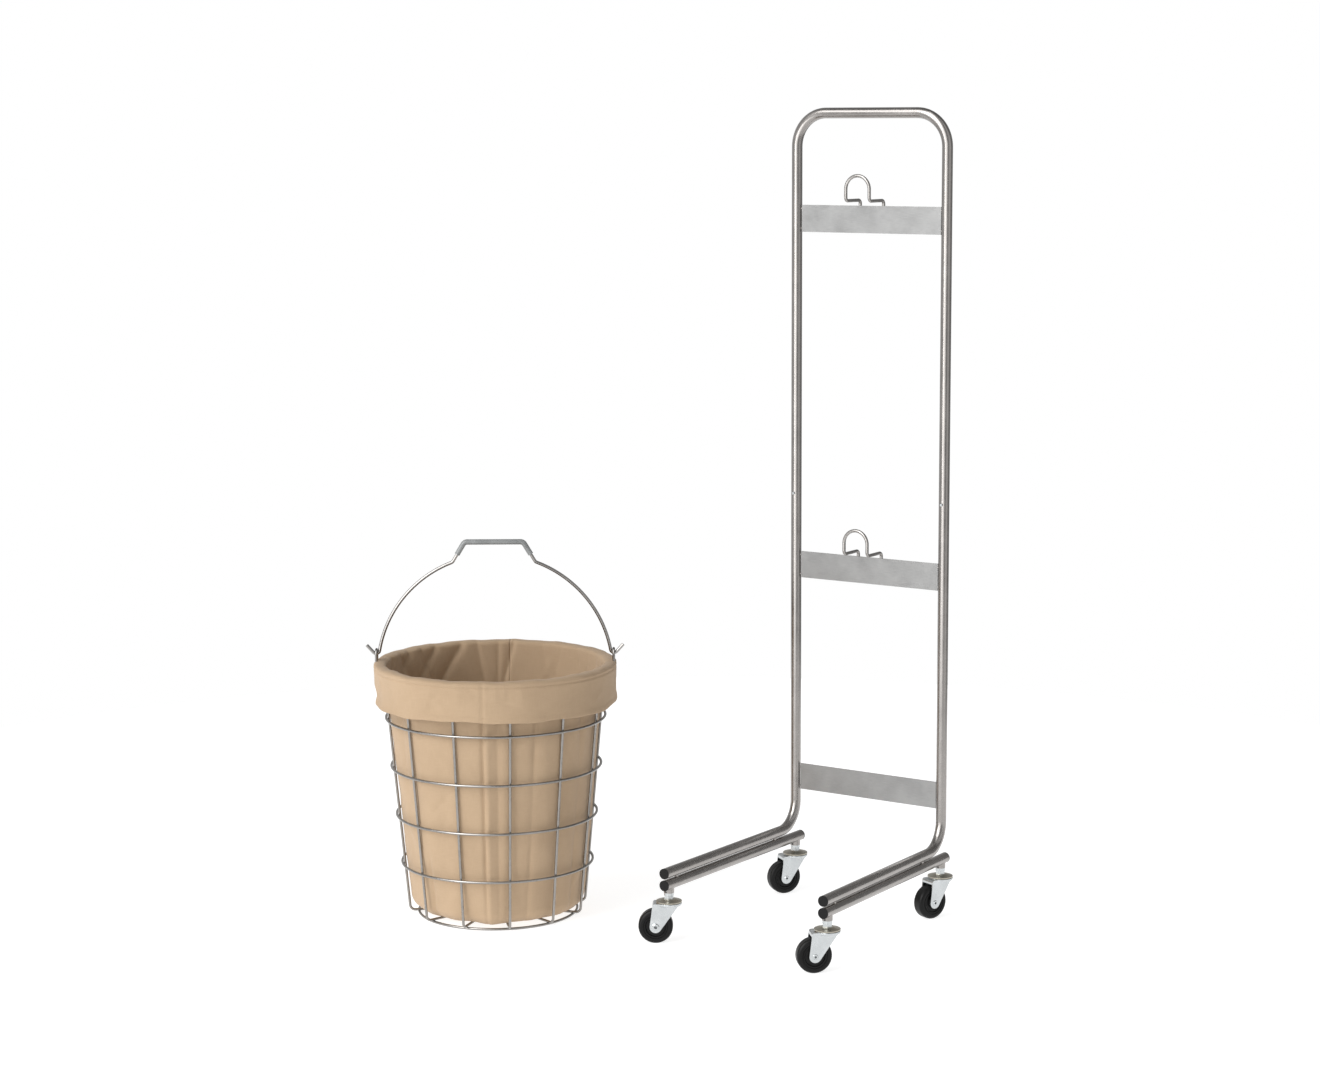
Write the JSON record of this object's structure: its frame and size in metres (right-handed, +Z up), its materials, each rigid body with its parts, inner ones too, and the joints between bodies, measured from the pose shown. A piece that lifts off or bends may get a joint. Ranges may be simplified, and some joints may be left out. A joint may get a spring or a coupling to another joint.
{
  "type": "laundry cart",
  "caption": "Rolling laundry stand of bent steel tube with wire hooks on flat crossbars, and a round wire basket with a canvas liner and a swinging bail handle.",
  "frame": {"origin": "on the floor under the middle of the whole set's box: stand and basket together", "axes": "+Z up; the stand's crossbars run along X and its legs point to -Y; the basket stands to the left (-X) and in front (-Y)"},
  "size_m": [0.7935, 0.5398, 1.2129],
  "materials": {
    "tube_steel": "clear-coated brushed steel",
    "plate_steel": "satin sheet steel",
    "wire_steel": "clear-coated steel wire",
    "zinc": "bright zinc plate",
    "spring_steel": "spring steel",
    "cap_plastic": "matt black plastic",
    "wheel_rubber": "hard black rubber",
    "cloth": "plain-woven canvas",
    "grip_plastic": "light grey plastic sleeve"
  },
  "bodies": {
    "frame": {"upper_frame_tube": "tube_steel", "left_lower_tube": "tube_steel", "right_lower_tube": "tube_steel", "left_base_tube": "tube_steel", "right_base_tube": "tube_steel", "left_spigot": "zinc", "right_spigot": "zinc", "left_snap_spring": "spring_steel", "right_snap_spring": "spring_steel", "top_crossbar": "plate_steel", "middle_crossbar": "plate_steel", "lower_crossbar": "plate_steel", "crossbar_welds": "tube_steel", "top_hook": "wire_steel", "middle_hook": "wire_steel", "leg_spacers": "tube_steel", "tube_end_caps": "cap_plastic", "caster_sockets": "tube_steel", "caster_stems": "zinc", "caster_lock_nuts": "zinc", "front_left_raceway": "zinc", "front_right_raceway": "zinc", "rear_left_raceway": "zinc", "rear_right_raceway": "zinc"},
    "left_button": {"left_snap_button": "zinc"},
    "right_button": {"right_snap_button": "zinc"},
    "front_left_swivel": {"front_left_fork": "zinc", "front_left_balls": "spring_steel", "front_left_rivet": "zinc"},
    "front_left_roller": {"front_left_wheel": "wheel_rubber", "front_left_bush": "zinc"},
    "front_right_swivel": {"front_right_fork": "zinc", "front_right_balls": "spring_steel", "front_right_rivet": "zinc"},
    "front_right_roller": {"front_right_wheel": "wheel_rubber", "front_right_bush": "zinc"},
    "rear_left_swivel": {"rear_left_fork": "zinc", "rear_left_balls": "spring_steel", "rear_left_rivet": "zinc"},
    "rear_left_roller": {"rear_left_wheel": "wheel_rubber", "rear_left_bush": "zinc"},
    "rear_right_swivel": {"rear_right_fork": "zinc", "rear_right_balls": "spring_steel", "rear_right_rivet": "zinc"},
    "rear_right_roller": {"rear_right_wheel": "wheel_rubber", "rear_right_bush": "zinc"},
    "basket": {"base_ring": "wire_steel", "hub_ring": "wire_steel", "hoop_1": "wire_steel", "hoop_2": "wire_steel", "hoop_3": "wire_steel", "hoop_4": "wire_steel", "rim_ring": "wire_steel", "upright_wires": "wire_steel", "left_ear": "wire_steel", "right_ear": "wire_steel", "fabric_liner": "cloth"},
    "bail": {"bail_wire": "wire_steel", "bail_grip": "grip_plastic"}
  },
  "joints": [
    {"name": "left_button_press", "type": "slide", "parent": "frame", "child": "left_button", "axis": [0, 1, 0], "range_m": [0, 0.003], "stiffness_N_per_m": 400, "deforming": ["left_snap_spring"]},
    {"name": "right_button_press", "type": "slide", "parent": "frame", "child": "right_button", "axis": [0, 1, 0], "range_m": [0, 0.003], "stiffness_N_per_m": 400, "deforming": ["right_snap_spring"]},
    {"name": "front_left_swivel_turn", "type": "hinge", "parent": "frame", "child": "front_left_swivel", "pos_m": [0.10754, -0.09199, 0.062], "axis": [0, 0, 1], "continuous": true},
    {"name": "front_left_wheel_roll", "type": "hinge", "parent": "front_left_swivel", "child": "front_left_roller", "pos_m": [0.09103, -0.10255, 0.0255], "axis": [0.5388, -0.8425, 0], "continuous": true},
    {"name": "front_right_swivel_turn", "type": "hinge", "parent": "frame", "child": "front_right_swivel", "pos_m": [0.37775, -0.09199, 0.062], "axis": [0, 0, 1], "continuous": true},
    {"name": "front_right_wheel_roll", "type": "hinge", "parent": "front_right_swivel", "child": "front_right_roller", "pos_m": [0.36346, -0.1054, 0.0255], "axis": [0.6845, -0.729, 0], "continuous": true},
    {"name": "rear_left_swivel_turn", "type": "hinge", "parent": "frame", "child": "rear_left_swivel", "pos_m": [0.11413, 0.25095, 0.062], "axis": [0, 0, 1], "continuous": true},
    {"name": "rear_left_wheel_roll", "type": "hinge", "parent": "rear_left_swivel", "child": "rear_left_roller", "pos_m": [0.10283, 0.23493, 0.0255], "axis": [0.8171, -0.5764, 0], "continuous": true},
    {"name": "rear_right_swivel_turn", "type": "hinge", "parent": "frame", "child": "rear_right_swivel", "pos_m": [0.37117, 0.25095, 0.062], "axis": [0, 0, 1], "continuous": true},
    {"name": "rear_right_wheel_roll", "type": "hinge", "parent": "rear_right_swivel", "child": "rear_right_roller", "pos_m": [0.36392, 0.23274, 0.0255], "axis": [0.9291, -0.3697, 0], "continuous": true},
    {"name": "basket_lift", "type": "slide", "parent": "frame", "child": "basket", "axis": [0, 0, 1], "range_m": [0, 0.45]},
    {"name": "bail_swing", "type": "hinge", "parent": "basket", "child": "bail", "pos_m": [-0.21245, -0.08565, 0.39904], "axis": [0.8271, 0.5621, 0], "range_deg": [-91, 91]}
  ]
}
